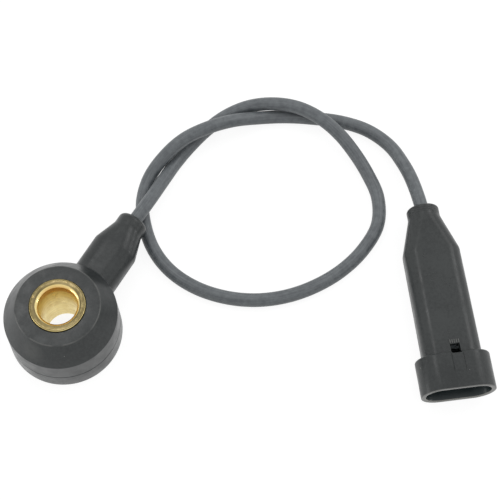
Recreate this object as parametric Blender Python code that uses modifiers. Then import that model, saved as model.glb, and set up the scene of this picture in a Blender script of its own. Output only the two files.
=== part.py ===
"""Engine knock sensor: a ring sensor with a moulded housing on a turned sleeve, a cable and a sealed plug.

Units are metres and +Z is up. The sensor sits on its seat at z = 0, and its cable leaves along +X. The
origin is under the middle of ring and boss, so the bolt hole's axis is at x = RING_X. The cable and
its plug lie on the same surface as the sensor.
"""

import math

import bmesh
import bpy
from mathutils import Vector

MM = 0.001

# Clearances: between moulded-in pieces, and between the pieces clamped together in the stack.
FIT_GAP = 0.3 * MM
STACK_GAP = 0.2 * MM

# Sleeve: an M8 bolt goes through its bore, and its flange carries the stack.
BORE_RADIUS = 4.2 * MM
SLEEVE_WALL = 1.8 * MM
SLEEVE_HEIGHT = 16.0 * MM
SLEEVE_STAND_OUT = 0.4 * MM
SLEEVE_TOP_CHAMFER = 0.55 * MM
SLEEVE_RIM_ROUND = 0.25 * MM
SLEEVE_FOOT_CHAMFER = 0.4 * MM
FLANGE_WIDTH = 3.5 * MM
FLANGE_HEIGHT = 2.0 * MM
FLANGE_FOOT_INSET = 0.8 * MM
FLANGE_FOOT_HEIGHT = 1.1 * MM
KEY_GROOVE_DEPTH = 0.35 * MM
KEY_GROOVE_WIDTH = 0.9 * MM
KEY_GROOVE_COVER = 0.35 * MM

# The stack between flange and nut, from the bottom up. The mass fills what height the others leave.
INSULATOR_THICKNESS = 0.4 * MM
INSULATOR_INSET = 0.4 * MM
CONTACT_THICKNESS = 0.4 * MM
CONTACT_INSET = 0.8 * MM
PIEZO_THICKNESS = 2.4 * MM
MASS_CHAMFER = 0.4 * MM
SPRING_SHEET = 0.5 * MM
SPRING_RISE = 0.35 * MM
SPRING_INSET = 1.1 * MM
NUT_THICKNESS = 1.7 * MM
NUT_INSET = 0.9 * MM
NUT_CHAMFER = 0.2 * MM
NUT_SLOT_WIDTH = 1.6 * MM
NUT_SLOT_DEPTH = 1.0 * MM
NUT_SLOTS = 4

# Housing: ring, shoulder cone and parting line.
RING_WALL = 2.5 * MM
RING_ROOF = 1.45 * MM
CONE_INSET = 3.1 * MM
CONE_HEIGHT = 5.0 * MM
RING_BOTTOM = 0.2 * MM
RING_DRAFT = 0.2 * MM
RING_EDGE_ROUND = 0.35 * MM
PARTING_HEIGHT = 4.9 * MM
PARTING_WIDTH = 0.3 * MM
PARTING_DEPTH = 0.12 * MM

# Boss that the cable leaves, moulded with the ring and measured from the ring's outside.
BOSS_LENGTH = 16.5 * MM
BOSS_TAPER_LENGTH = 5.14 * MM
BOSS_ABOVE_PIEZO = 0.9 * MM
BOSS_HALF_WIDTH = 5.19 * MM
BOSS_HALF_HEIGHT = 3.98 * MM
BOSS_CORNER = 3.7 * MM
BOSS_DROP = 0.27 * MM
BOSS_WALL = 0.9 * MM
BOSS_ROOT_DEPTH = 1.9 * MM
NECK_LENGTH = 2.99 * MM
NECK_RADIUS = 3.5 * MM
NECK_END_ROUND = 1.2 * MM
POCKET_CORNER = 1.8 * MM
POCKET_LEAD = 1.4 * MM
POCKET_END_WALL = 0.6 * MM

# Contact tabs, discharge resistor and the cable's bared conductors.
TAB_OFFSET = 2.3 * MM
TAB_WIDTH = 1.8 * MM
TAB_END_ROOM = 3.4 * MM
TAB_TO_RESISTOR = 3.7 * MM
RESISTOR_RADIUS = 0.75 * MM
RESISTOR_LENGTH = 3.2 * MM
RESISTOR_LEAD_RADIUS = 0.22 * MM
CONDUCTOR_RADIUS = 0.45 * MM
CONDUCTOR_SPREAD = 0.7 * MM
CONDUCTOR_LAP = 2.2 * MM

# Cable. The part of it in the boss and in the plug is as long as these stretches.
CABLE_RADIUS = 1.55 * MM
CABLE_IN_BOSS = 7.6 * MM
CABLE_IN_PLUG = 7.0 * MM

# Plug: its lengths run from the cable end of its collar to its mouth.
PLUG_PLACE = (56.73 * MM, -54.33 * MM)
PLUG_HEADING = math.radians(-141.9)
COLLAR_RADIUS = 3.66 * MM
COLLAR_LENGTH = 2.5 * MM
COLLAR_END_ROUND = 0.6 * MM
PLUG_BODY_START = 11.0 * MM
PLUG_BODY_HALF_WIDTH = 6.38 * MM
PLUG_BODY_HALF_HEIGHT = 3.8 * MM
PLUG_BODY_CORNER = 3.1 * MM
PLUG_DRAFT = 0.08 * MM
SHROUD_START = 36.0 * MM
SHROUD_HALF_WIDTH = 8.2 * MM
SHROUD_HALF_HEIGHT = 4.6 * MM
SHROUD_EDGE_ROUND = 0.35 * MM
SHROUD_WALL = 1.05 * MM
PLUG_LENGTH = 44.2 * MM
MOUTH_DEPTH = 7.4 * MM
RECESS_DEPTH = 11.0 * MM
WINDOW_START = 34.15 * MM
WINDOW_END = 36.5 * MM
WINDOW_WIDTH = 2.1 * MM
WINDOW_OFFSET = 0.45 * MM
LOCK_END = 40.6 * MM
LOCK_WIDTH = 2.4 * MM
LOCK_RISE = 0.15 * MM

# Inside the plug: the block that holds the terminals, and the terminals.
CARRIER_START = 19.0 * MM
CARRIER_HALF_WIDTH = 4.7 * MM
CARRIER_HALF_HEIGHT = 2.4 * MM
CARRIER_CORNER = 0.6 * MM
PASSAGE_HALF_WIDTH = 4.2 * MM
PASSAGE_HALF_HEIGHT = 1.7 * MM
PIN_OFFSET = 2.75 * MM
PIN_WIDTH = 1.5 * MM
PIN_THICKNESS = 0.8 * MM
PIN_TIP = 39.4 * MM
PIN_TIP_TAPER = 1.0 * MM
CRIMP_START = 14.6 * MM
CRIMP_LENGTH = 3.4 * MM
CRIMP_RADIUS = 1.1 * MM

# Facets
ROUND_STEPS = 64
STACK_STEPS = 40
CORNER_STEPS = 7
SMALL_STEPS = 16
ROUND_POINTS = 4
CABLE_POINTS = 60
SHARP_ANGLE = math.radians(30)

# How far a core reaches past the face that it opens.
CAVITY_OVERLAP = 1.0 * MM

# What follows from the sizes above.
SLEEVE_RADIUS = BORE_RADIUS + SLEEVE_WALL
FLANGE_RADIUS = SLEEVE_RADIUS + FLANGE_WIDTH
FLANGE_FOOT_RADIUS = FLANGE_RADIUS - FLANGE_FOOT_INSET
CAVITY_RADIUS = FLANGE_RADIUS + FIT_GAP
INSULATOR_RADIUS = FLANGE_RADIUS - INSULATOR_INSET
CONTACT_RADIUS = FLANGE_RADIUS - CONTACT_INSET
SPRING_RADIUS = FLANGE_RADIUS - SPRING_INSET
NUT_RADIUS = FLANGE_RADIUS - NUT_INSET
RING_RADIUS = CAVITY_RADIUS + RING_WALL
RING_TOP_RADIUS = RING_RADIUS - CONE_INSET
RING_FOOT_RADIUS = RING_RADIUS + RING_DRAFT
RING_TOP = SLEEVE_HEIGHT - SLEEVE_STAND_OUT
RING_SHOULDER = RING_TOP - CONE_HEIGHT
BOSS_REACH = RING_RADIUS + BOSS_LENGTH
RING_X = (RING_FOOT_RADIUS - BOSS_REACH) / 2
KEY_GROOVE_HIGH = RING_TOP - KEY_GROOVE_COVER
KEY_GROOVE_LOW = KEY_GROOVE_HIGH - KEY_GROOVE_WIDTH
NUT_TOP = RING_TOP - RING_ROOF - FIT_GAP
SPRING_HEIGHT = SPRING_SHEET + SPRING_RISE
PIEZO_LOW = FLANGE_HEIGHT + INSULATOR_THICKNESS + CONTACT_THICKNESS + 3 * STACK_GAP
BOSS_AXIS_HEIGHT = PIEZO_LOW + PIEZO_THICKNESS / 2 + BOSS_ABOVE_PIEZO
BOSS_ROOT = RING_RADIUS - BOSS_ROOT_DEPTH
BOSS_TAPER_END = BOSS_REACH - NECK_LENGTH
BOSS_TAPER_START = BOSS_TAPER_END - BOSS_TAPER_LENGTH
POCKET_START = CAVITY_RADIUS - POCKET_LEAD
POCKET_END = BOSS_TAPER_START - POCKET_END_WALL
TAB_REACH = POCKET_END - TAB_END_ROOM
RESISTOR_X = TAB_REACH - TAB_TO_RESISTOR
CONDUCTOR_START = TAB_REACH - CONDUCTOR_LAP
PLUG_AXIS_HEIGHT = SHROUD_HALF_HEIGHT
CABLE_BORE_RADIUS = CABLE_RADIUS + FIT_GAP

# The cable's route from the boss to the plug, in millimetres: the middle of the cable where it lies. It
# lies on the surface, passes over its own return beside the boss, and crosses itself twice at the far side.
CABLE_ROUTE_MM = [
    (27.1, 0.09, 4.9),
    (33.23, 0.64, 3.22),
    (39.26, 1.08, 1.72),
    (44.8, 0.61, 1.6),
    (50.67, -0.5, 1.6),
    (56.34, -2.52, 1.68),
    (60.74, -6.06, 2.62),
    (63.58, -11.18, 4.18),
    (65.1, -16.94, 5.24),
    (65.25, -22.8, 5.25),
    (64.4, -28.32, 4.25),
    (62.73, -33.41, 2.65),
    (59.78, -38.79, 1.72),
    (55.69, -43.71, 1.6),
    (49.6, -46.99, 1.6),
    (42.47, -47.21, 1.6),
    (35.63, -45.59, 1.6),
    (29.37, -42.5, 1.6),
    (23.83, -38.18, 1.6),
    (19.41, -32.72, 1.6),
    (16.42, -26.36, 1.6),
    (15.03, -19.51, 1.6),
    (15.51, -12.66, 1.6),
    (17.88, -6.67, 1.6),
    (21.9, -1.62, 1.6),
    (27.07, 2.36, 1.6),
    (32.76, 4.04, 2.44),
    (38.52, 3.48, 4.05),
    (43.88, 1.57, 5.58),
    (49.17, -1.51, 5.7),
    (54.5, -5.28, 4.5),
    (59.62, -9.68, 2.1),
    (63.38, -14.92, 1.65),
    (66.35, -20.72, 1.6),
    (68.79, -26.73, 1.6),
    (69.94, -33.1, 1.65),
    (68.81, -39.57, 2.05),
    (65.63, -45.02, 2.95),
    (62.23, -49.13, 3.77),
]


def clear_scene():
    """Removes what a new scene starts with."""
    for old in list(bpy.data.objects):
        bpy.data.objects.remove(old, do_unlink=True)


def collection(name, hidden=False):
    """A collection of this name in the scene."""
    made = bpy.data.collections.new(name)
    made.hide_render = hidden
    bpy.context.scene.collection.children.link(made)
    return made


def material(name, colour, roughness, metallic=0.0):
    """A plain finish for one kind of piece."""
    made = bpy.data.materials.new(name)
    made.use_nodes = True
    made.diffuse_color = (*colour, 1.0)
    shader = made.node_tree.nodes["Principled BSDF"]
    shader.inputs["Base Color"].default_value = (*colour, 1.0)
    shader.inputs["Roughness"].default_value = roughness
    shader.inputs["Metallic"].default_value = metallic
    return made


def add(name, data, group, finish=None, at=(0, 0, 0), parent=None):
    """Puts data in the scene as a named object."""
    made = bpy.data.objects.new(name, data)
    made.location = at
    made.parent = parent
    group.objects.link(made)
    if finish:
        data.materials.append(finish)
    return made


def settled(obj):
    """Gives obj the mesh that its modifiers make, shaded smooth but for its real edges."""
    bpy.context.view_layer.update()
    graph = bpy.context.evaluated_depsgraph_get()
    mesh = bpy.data.meshes.new_from_object(obj.evaluated_get(graph))
    obj.modifiers.clear()
    old, obj.data = obj.data, mesh
    bpy.data.meshes.remove(old)
    mesh.shade_smooth()
    mesh.set_sharp_from_angle(angle=SHARP_ANGLE)
    return obj


def combined(obj, other, operation):
    """Joins other to obj, or cuts it out of obj, and settles the result."""
    modifier = obj.modifiers.new(other.name, "BOOLEAN")
    modifier.operation = operation
    modifier.solver = "EXACT"
    modifier.object = other
    return settled(obj)


def cut(obj, cutter):
    """Cuts cutter out of obj, and leaves cutter as a hidden wire."""
    cutter.hide_render = True
    cutter.display_type = "WIRE"
    return combined(obj, cutter, "DIFFERENCE")


def joined(obj, other):
    """Moulds other into obj."""
    combined(obj, other, "UNION")
    bpy.data.objects.remove(other, do_unlink=True)
    return obj


def arc(centre, radius, start, end, steps=ROUND_POINTS):
    """Points along an arc, with its angles in degrees from the first axis."""
    angles = [math.radians(start + (end - start) * i / steps) for i in range(steps + 1)]
    return [(centre[0] + radius * math.cos(a), centre[1] + radius * math.sin(a)) for a in angles]


def turned(name, profile, steps, group, finish=None, at=(RING_X, 0, 0), parent=None):
    """A ring turned about Z from a closed profile of (radius, height), down its outer side first."""
    mesh = bpy.data.meshes.new(name)
    count = len(profile)
    edges = [(i, (i + 1) % count) for i in range(count)]
    mesh.from_pydata([(radius, 0, height) for radius, height in profile], edges, [])
    made = add(name, mesh, group, finish, at, parent)
    screw = made.modifiers.new("Turn", "SCREW")
    screw.steps = screw.render_steps = steps
    screw.use_smooth_shade = True
    return settled(made)


def washer(inner, outer, low, thickness, chamfer=0.0):
    """The profile of a flat ring, with its outer edges broken if chamfer is given."""
    high = low + thickness
    if not chamfer:
        return [(inner, high), (outer, high), (outer, low), (inner, low)]
    return [
        (inner, high),
        (outer - chamfer, high),
        (outer, high - chamfer),
        (outer, low + chamfer),
        (outer - chamfer, low),
        (inner, low),
    ]


def section(half_width, half_height, corner, steps=CORNER_STEPS):
    """A rounded oblong as (y, z) points. Its flats lie at the half sizes, and its corners are arcs."""
    step = math.pi / 2 / steps
    reach = corner / math.cos(step / 2)
    points = []
    for quadrant in range(4):
        side = 1 if quadrant in (0, 3) else -1
        rise = 1 if quadrant in (0, 1) else -1
        for i in range(steps):
            angle = quadrant * math.pi / 2 + (i + 0.5) * step
            y = side * (half_width - corner) + reach * math.cos(angle)
            z = rise * (half_height - corner) + reach * math.sin(angle)
            points.append((y, z))
    return points


def lofted(name, stations, group, finish=None, at=(0, 0, 0), parent=None):
    """A solid along X through stations of (x, half width, half height, corner radius, drop if any)."""
    shape = bmesh.new()
    rings = []
    for x, half_width, half_height, corner, *drop in stations:
        outline = section(half_width, half_height, corner)
        rings.append([shape.verts.new((x, y, z - sum(drop))) for y, z in outline])
    count = len(rings[0])
    for near, far in zip(rings, rings[1:]):
        for i in range(count):
            j = (i + 1) % count
            shape.faces.new((near[i], near[j], far[j], far[i]))
    shape.faces.new(list(reversed(rings[0])))
    shape.faces.new(rings[-1])
    bmesh.ops.recalc_face_normals(shape, faces=shape.faces)
    mesh = bpy.data.meshes.new(name)
    shape.to_mesh(mesh)
    shape.free()
    return settled(add(name, mesh, group, finish, at, parent))


def round_bar(x, radius):
    """A round station of a loft."""
    return (x, radius, radius, radius)


def rounded_edge(x, size, edge, direction, steps=ROUND_POINTS):
    """Stations that round an oblong's edge over: it grows from x to its full size, or ends at x."""
    half_width, half_height, corner = size
    stations = []
    for i in range(steps + 1):
        angle = math.pi / 2 * i / steps
        inset = edge * (1 - math.sin(angle))
        along = direction * edge * (1 - math.cos(angle))
        stations.append((x + along, half_width - inset, half_height - inset, corner - inset))
    return stations if direction > 0 else stations[::-1]


def box(name, low, high, group, finish=None, at=(0, 0, 0), parent=None, edge=0.0):
    """A block between two corners, with its edges rounded if edge is given."""
    shape = bmesh.new()
    bmesh.ops.create_cube(shape, size=1)
    low, high = Vector(low), Vector(high)
    for vertex in shape.verts:
        vertex.co = (low + high) / 2 + vertex.co * (high - low)
    mesh = bpy.data.meshes.new(name)
    shape.to_mesh(mesh)
    shape.free()
    made = add(name, mesh, group, finish, at, parent)
    if edge:
        bevel = made.modifiers.new("Edge", "BEVEL")
        bevel.width = edge
        bevel.segments = 2
    return settled(made)


def tube(name, points, radius, group, finish=None, at=(0, 0, 0), parent=None):
    """A round bar with flat ends through points, as a mesh."""
    curve = bpy.data.curves.new(name, "CURVE")
    curve.dimensions = "3D"
    curve.bevel_depth = radius
    curve.bevel_resolution = 2
    curve.use_fill_caps = True
    spline = curve.splines.new("POLY")
    spline.points.add(len(points) - 1)
    for point, place in zip(spline.points, points):
        point.co = (*place, 1)
    return add(name, curve, group, finish, at, parent)


def welded(obj):
    """Makes a tube a mesh with its caps joined on, so that it can be cut or joined."""
    bpy.context.view_layer.update()
    graph = bpy.context.evaluated_depsgraph_get()
    mesh = bpy.data.meshes.new_from_object(obj.evaluated_get(graph))
    shape = bmesh.new()
    shape.from_mesh(mesh)
    bmesh.ops.remove_doubles(shape, verts=shape.verts, dist=0.001 * MM)
    shape.to_mesh(mesh)
    shape.free()
    name, group, place, parent = obj.name, obj.users_collection[0], obj.location.copy(), obj.parent
    bpy.data.objects.remove(obj, do_unlink=True)
    return add(name, mesh, group, None, place, parent)


def smooth_path(points, per_span=8):
    """Points along one smooth curve through the given ones, closer together where those are."""
    points = [Vector(p) for p in points]
    ends = [2 * points[0] - points[1]], [2 * points[-1] - points[-2]]
    points = ends[0] + points + ends[1]
    path = []
    for p0, p1, p2, p3 in zip(points, points[1:], points[2:], points[3:]):
        knots = [0.0]
        for a, b in ((p0, p1), (p1, p2), (p2, p3)):
            knots.append(knots[-1] + math.sqrt((b - a).length))
        t0, t1, t2, t3 = knots
        for i in range(per_span):
            t = t1 + (t2 - t1) * i / per_span
            a1 = p0.lerp(p1, (t - t0) / (t1 - t0))
            a2 = p1.lerp(p2, (t - t1) / (t2 - t1))
            a3 = p2.lerp(p3, (t - t2) / (t3 - t2))
            b1 = a1.lerp(a2, (t - t0) / (t2 - t0))
            b2 = a2.lerp(a3, (t - t1) / (t3 - t1))
            path.append(b1.lerp(b2, (t - t1) / (t2 - t1)))
    return path + [points[-2]]


def evenly(path, count):
    """The path again, as count points the same distance apart along it."""
    along = [0.0]
    for a, b in zip(path, path[1:]):
        along.append(along[-1] + (b - a).length)
    result, k = [], 0
    for i in range(count):
        target = along[-1] * i / (count - 1)
        while k < len(path) - 2 and along[k + 1] < target:
            k += 1
        share = (target - along[k]) / (along[k + 1] - along[k])
        result.append(path[k].lerp(path[k + 1], share))
    return result


def stack():
    """Each piece of the stack as its name, its lowest height and its thickness, from the flange up."""
    thickness = {
        "lower_insulator": INSULATOR_THICKNESS,
        "lower_contact": CONTACT_THICKNESS,
        "piezo_ring": PIEZO_THICKNESS,
        "upper_contact": CONTACT_THICKNESS,
        "upper_insulator": INSULATOR_THICKNESS,
        "seismic_mass": 0,
        "disc_spring": SPRING_HEIGHT,
        "clamp_nut": NUT_THICKNESS,
    }
    taken = sum(thickness.values()) + len(thickness) * STACK_GAP
    thickness["seismic_mass"] = NUT_TOP - FLANGE_HEIGHT - taken
    low, places = FLANGE_HEIGHT, {}
    for name, height in thickness.items():
        low += STACK_GAP
        places[name] = (low, height)
        low += height
    return places


def make_sleeve(group, finish):
    """The turned sleeve that the bolt clamps: bore, flange, and a groove that keys the housing."""
    high, low = KEY_GROOVE_HIGH, KEY_GROOVE_LOW
    bottom, rim = SLEEVE_RADIUS - KEY_GROOVE_DEPTH, SLEEVE_RIM_ROUND
    profile = [(BORE_RADIUS + SLEEVE_TOP_CHAMFER, SLEEVE_HEIGHT)]
    profile += arc((SLEEVE_RADIUS - rim, SLEEVE_HEIGHT - rim), rim, 90, 0, 3)
    profile += [(SLEEVE_RADIUS, high), (bottom, high), (bottom, low), (SLEEVE_RADIUS, low)]
    profile += [
        (SLEEVE_RADIUS, FLANGE_HEIGHT),
        (FLANGE_RADIUS, FLANGE_HEIGHT),
        (FLANGE_RADIUS, FLANGE_FOOT_HEIGHT),
        (FLANGE_FOOT_RADIUS, FLANGE_FOOT_HEIGHT),
        (FLANGE_FOOT_RADIUS, 0),
        (BORE_RADIUS + SLEEVE_FOOT_CHAMFER, 0),
        (BORE_RADIUS, SLEEVE_FOOT_CHAMFER),
        (BORE_RADIUS, SLEEVE_HEIGHT - SLEEVE_TOP_CHAMFER),
    ]
    return turned("sleeve", profile, STACK_STEPS, group, finish)


def make_contact(name, side, group, finish):
    """A contact disc with the tab that carries its conductor. Its side is -1 or 1 across the boss."""
    low, thickness = stack()[name]
    inner = SLEEVE_RADIUS + FIT_GAP
    disc = turned(name, washer(inner, CONTACT_RADIUS, low, thickness), STACK_STEPS, group, finish)
    middle = side * TAB_OFFSET
    tab = box(
        name + "_tab",
        ((inner + CONTACT_RADIUS) / 2, middle - TAB_WIDTH / 2, low),
        (TAB_REACH, middle + TAB_WIDTH / 2, low + thickness),
        group,
        at=(RING_X, 0, 0),
    )
    return joined(disc, tab)


def make_nut(group, finish, cutters):
    """The round nut that clamps the stack, with slots for its spanner."""
    low, thickness = stack()["clamp_nut"]
    profile = washer(SLEEVE_RADIUS + FIT_GAP, NUT_RADIUS, low, thickness, NUT_CHAMFER)
    nut = turned("clamp_nut", profile, STACK_STEPS, group, finish)
    for i in range(NUT_SLOTS):
        slot = box(
            "nut_slot_%d" % (i + 1),
            (SLEEVE_RADIUS - FIT_GAP, -NUT_SLOT_WIDTH / 2, NUT_TOP - NUT_SLOT_DEPTH),
            (NUT_RADIUS + FIT_GAP, NUT_SLOT_WIDTH / 2, NUT_TOP + FIT_GAP),
            cutters,
            at=(RING_X, 0, 0),
        )
        slot.rotation_euler.z = math.tau * (i + 0.5) / NUT_SLOTS
        cut(nut, slot)
    return nut


def make_stack(group, finishes, cutters):
    """The pieces clamped on the sleeve, from the lower insulator to the nut."""
    inner = SLEEVE_RADIUS + FIT_GAP
    rings = (
        ("lower_insulator", INSULATOR_RADIUS, 0, "film"),
        ("piezo_ring", CONTACT_RADIUS, 0, "ceramic"),
        ("upper_insulator", INSULATOR_RADIUS, 0, "film"),
        ("seismic_mass", INSULATOR_RADIUS, MASS_CHAMFER, "steel"),
    )
    for name, radius, chamfer, finish in rings:
        profile = washer(inner, radius, *stack()[name], chamfer)
        turned(name, profile, STACK_STEPS, group, finishes[finish])
    make_contact("lower_contact", -1, group, finishes["terminal"])
    make_contact("upper_contact", 1, group, finishes["terminal"])
    foot = stack()["disc_spring"][0]
    profile = [
        (inner, foot + SPRING_HEIGHT),
        (SPRING_RADIUS, foot + SPRING_SHEET),
        (SPRING_RADIUS, foot),
        (inner, foot + SPRING_RISE),
    ]
    turned("disc_spring", profile, STACK_STEPS, group, finishes["steel"])
    make_nut(group, finishes["steel"], cutters)


def ring_profile():
    """The section of the housing's ring: a C that closes round the stack and opens on the sleeve."""
    sleeve_side = SLEEVE_RADIUS + FIT_GAP
    key_side = sleeve_side - KEY_GROOVE_DEPTH
    edge, width = RING_EDGE_ROUND, PARTING_WIDTH
    slope = math.degrees(math.atan2(CONE_INSET, CONE_HEIGHT))
    parting = RING_RADIUS + RING_DRAFT * (RING_SHOULDER - PARTING_HEIGHT) / (RING_SHOULDER - RING_BOTTOM)
    points = [(sleeve_side, RING_TOP)]
    points += arc((RING_TOP_RADIUS - edge, RING_TOP - edge), edge, 90, slope, 3)
    points += arc((RING_RADIUS - edge, RING_SHOULDER - edge), edge, slope, 0, 2)
    points += [
        (parting, PARTING_HEIGHT + width / 2),
        (parting - PARTING_DEPTH, PARTING_HEIGHT),
        (parting, PARTING_HEIGHT - width / 2),
    ]
    points += arc((RING_FOOT_RADIUS - edge, RING_BOTTOM + edge), edge, 0, -90, 3)
    points += [
        (FLANGE_FOOT_RADIUS + FIT_GAP, RING_BOTTOM),
        (FLANGE_FOOT_RADIUS + FIT_GAP, FLANGE_FOOT_HEIGHT - FIT_GAP),
        (CAVITY_RADIUS, FLANGE_FOOT_HEIGHT - FIT_GAP),
        (CAVITY_RADIUS, stack()["disc_spring"][0]),
        (NUT_RADIUS + FIT_GAP, stack()["clamp_nut"][0]),
        (NUT_RADIUS + FIT_GAP, NUT_TOP + FIT_GAP),
        (sleeve_side, NUT_TOP + FIT_GAP),
        (sleeve_side, KEY_GROOVE_LOW + FIT_GAP),
        (key_side, KEY_GROOVE_LOW + FIT_GAP),
        (key_side, KEY_GROOVE_HIGH - FIT_GAP),
        (sleeve_side, KEY_GROOVE_HIGH - FIT_GAP),
    ]
    return points


def make_housing(group, finish, cutters):
    """The moulded housing: its ring, the boss with a rounded neck, and the space for tabs and cable."""
    housing = turned("housing", ring_profile(), ROUND_STEPS, group, finish)
    at = (RING_X, 0, BOSS_AXIS_HEIGHT)
    body = (BOSS_HALF_WIDTH, BOSS_HALF_HEIGHT, BOSS_CORNER, BOSS_DROP)
    neck = (NECK_RADIUS, NECK_RADIUS, NECK_RADIUS)
    stations = [(BOSS_ROOT, *body), (BOSS_TAPER_START, *body), (BOSS_TAPER_END, *neck)]
    stations += rounded_edge(BOSS_REACH, neck, NECK_END_ROUND, -1)
    joined(housing, lofted("boss", stations, group, at=at))
    pocket = (BOSS_HALF_WIDTH - BOSS_WALL, BOSS_HALF_HEIGHT - BOSS_WALL, POCKET_CORNER, BOSS_DROP)
    stations = [
        (POCKET_START, *pocket),
        (POCKET_END, *pocket),
        round_bar(POCKET_END, CABLE_BORE_RADIUS),
        round_bar(BOSS_REACH + CAVITY_OVERLAP, CABLE_BORE_RADIUS),
    ]
    return cut(housing, lofted("boss_core", stations, cutters, at=at))


def make_resistor(group, finish):
    """The discharge resistor between the two tabs, with its leads bent onto them."""
    down = sum(stack()["lower_contact"]) + FIT_GAP
    up = stack()["upper_contact"][0] - FIT_GAP
    middle, bend = (down + up) / 2, RESISTOR_LEAD_RADIUS * 1.5
    lead = [
        (0, -TAB_OFFSET, down),
        (0, -TAB_OFFSET, middle - bend),
        (0, -TAB_OFFSET + bend, middle),
        (0, TAB_OFFSET - bend, middle),
        (0, TAB_OFFSET, middle + bend),
        (0, TAB_OFFSET, up),
    ]
    at = (RING_X + RESISTOR_X, 0, 0)
    wire = welded(tube("resistor_lead", lead, RESISTOR_LEAD_RADIUS, group, at=at))
    half = RESISTOR_LENGTH / 2
    profile = [(0, half), (RESISTOR_RADIUS * 0.8, half), (RESISTOR_RADIUS, half * 0.8)]
    profile += [(RESISTOR_RADIUS, -half * 0.8), (RESISTOR_RADIUS * 0.8, -half), (0, -half)]
    mesh = bpy.data.meshes.new("discharge_resistor")
    edges = [(i, i + 1) for i in range(len(profile) - 1)]
    mesh.from_pydata([(radius, 0, height) for radius, height in profile], edges, [])
    body = add("discharge_resistor", mesh, group, finish, (at[0], 0, middle))
    body.rotation_euler.x = math.pi / 2
    screw = body.modifiers.new("Turn", "SCREW")
    screw.steps = screw.render_steps = SMALL_STEPS
    screw.use_smooth_shade = True
    screw.use_merge_vertices = True
    screw.merge_threshold = 0.00001
    return joined(settled(body), wire)


def make_boss_conductors(group, finishes):
    """The bared conductors between the contact tabs and the end of the cable in the boss."""
    end = BOSS_REACH - CABLE_IN_BOSS - FIT_GAP
    places = (
        ("sensor_ground_wire", -1, "lower_contact", finishes["ground"]),
        ("sensor_signal_wire", 1, "upper_contact", finishes["signal"]),
    )
    for name, side, contact, finish in places:
        height = sum(stack()[contact]) + FIT_GAP + CONDUCTOR_RADIUS
        middle = (TAB_REACH + end) / 2
        path = smooth_path(
            [
                (CONDUCTOR_START, side * TAB_OFFSET, height),
                (TAB_REACH, side * TAB_OFFSET, height),
                (middle, side * (TAB_OFFSET + CONDUCTOR_SPREAD) / 2, (height + BOSS_AXIS_HEIGHT) / 2),
                (end, side * CONDUCTOR_SPREAD, BOSS_AXIS_HEIGHT),
            ],
            4,
        )
        tube(name, path, CONDUCTOR_RADIUS, group, finish, at=(RING_X, 0, 0))


def cable_path():
    """The middle of the cable: straight in the boss, along its route, and straight in the plug."""
    exit_x = RING_X + BOSS_REACH
    boss = [(exit_x - back, 0, BOSS_AXIS_HEIGHT) for back in (CABLE_IN_BOSS, CABLE_IN_BOSS / 2, 0)]
    route = [(x * MM, y * MM, z * MM) for x, y, z in CABLE_ROUTE_MM]
    ahead = Vector((math.cos(PLUG_HEADING), math.sin(PLUG_HEADING), 0))
    mouth = Vector((*PLUG_PLACE, PLUG_AXIS_HEIGHT))
    plug = [mouth + ahead * on for on in (0, CABLE_IN_PLUG / 2, CABLE_IN_PLUG)]
    return smooth_path(boss + route + plug)


def plug_frame(group):
    """The empty that places the plug: +X runs from its collar to its mouth."""
    frame = bpy.data.objects.new("plug_frame", None)
    frame.location = (*PLUG_PLACE, PLUG_AXIS_HEIGHT)
    frame.rotation_euler.z = PLUG_HEADING
    group.objects.link(frame)
    return frame


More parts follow.
